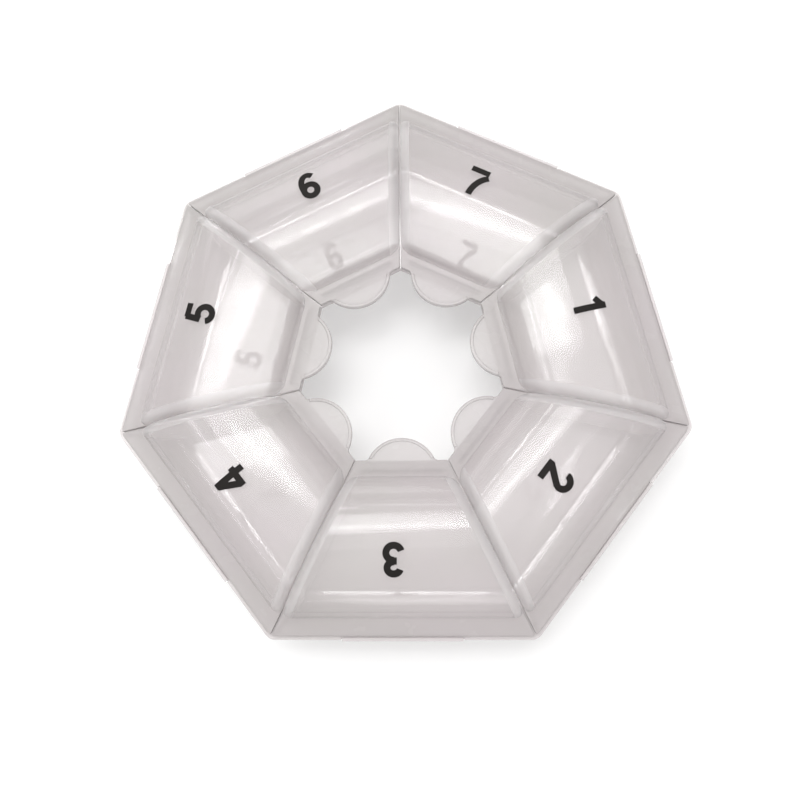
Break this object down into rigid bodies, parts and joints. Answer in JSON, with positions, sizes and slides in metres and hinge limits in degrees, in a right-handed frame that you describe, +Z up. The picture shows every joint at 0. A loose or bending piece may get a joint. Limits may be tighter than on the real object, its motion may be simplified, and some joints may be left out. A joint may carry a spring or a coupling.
{
  "type": "weekly pill organizer",
  "caption": "Heptagonal ring tray with a wedge compartment for each day, under clear vaulted lids that fold outward on film hinges and open by finger tabs over the middle hole.",
  "frame": {"origin": "on the surface that the tray stands on, under the middle of the outline's bounding box, about 2.7 mm from the ring's axis, which lies at Y -2.705 mm", "axes": "+Z up through the lids; +Y towards the corner between lids 6 and 7, so that the flat of lid 3 faces -Y; +X to the right seen from above"},
  "size_m": [0.1164, 0.114, 0.0215],
  "materials": {
    "tray_plastic": "translucent natural polypropylene, lightly frosted by wear",
    "lid_plastic": "clear natural polypropylene, glossy with faint mould marks",
    "print_ink": "thin dark pad print of the day numbers on the lids",
    "film_plastic": "thin folded polypropylene film"
  },
  "bodies": {
    "tray": {"base_tray": "tray_plastic", "hinge_film_1": "film_plastic", "hinge_film_2": "film_plastic", "hinge_film_3": "film_plastic", "hinge_film_4": "film_plastic", "hinge_film_5": "film_plastic", "hinge_film_6": "film_plastic", "hinge_film_7": "film_plastic"},
    "lid_1": {"lid_1": "lid_plastic"},
    "lid_2": {"lid_2": "lid_plastic"},
    "lid_3": {"lid_3": "lid_plastic"},
    "lid_4": {"lid_4": "lid_plastic"},
    "lid_5": {"lid_5": "lid_plastic"},
    "lid_6": {"lid_6": "lid_plastic"},
    "lid_7": {"lid_7": "lid_plastic"}
  },
  "joints": [
    {"name": "lid_1_hinge", "type": "hinge", "parent": "tray", "child": "lid_1", "pos_m": [0.0524, 0.00926, 0.014], "axis": [-0.2225, 0.9749, 0], "range_deg": [0, 180]},
    {"name": "lid_2_hinge", "type": "hinge", "parent": "tray", "child": "lid_2", "pos_m": [0.04202, -0.03622, 0.014], "axis": [0.6235, 0.7818, 0], "range_deg": [0, 180]},
    {"name": "lid_3_hinge", "type": "hinge", "parent": "tray", "child": "lid_3", "pos_m": [0, -0.05646, 0.014], "axis": [1, 0, 0], "range_deg": [0, 180]},
    {"name": "lid_4_hinge", "type": "hinge", "parent": "tray", "child": "lid_4", "pos_m": [-0.04202, -0.03622, 0.014], "axis": [0.6235, -0.7818, 0], "range_deg": [0, 180]},
    {"name": "lid_5_hinge", "type": "hinge", "parent": "tray", "child": "lid_5", "pos_m": [-0.0524, 0.00926, 0.014], "axis": [-0.2225, -0.9749, 0], "range_deg": [0, 180]},
    {"name": "lid_6_hinge", "type": "hinge", "parent": "tray", "child": "lid_6", "pos_m": [-0.02332, 0.04572, 0.014], "axis": [-0.901, -0.4339, 0], "range_deg": [0, 180]},
    {"name": "lid_7_hinge", "type": "hinge", "parent": "tray", "child": "lid_7", "pos_m": [0.02332, 0.04572, 0.014], "axis": [-0.901, 0.4339, 0], "range_deg": [0, 180]}
  ]
}
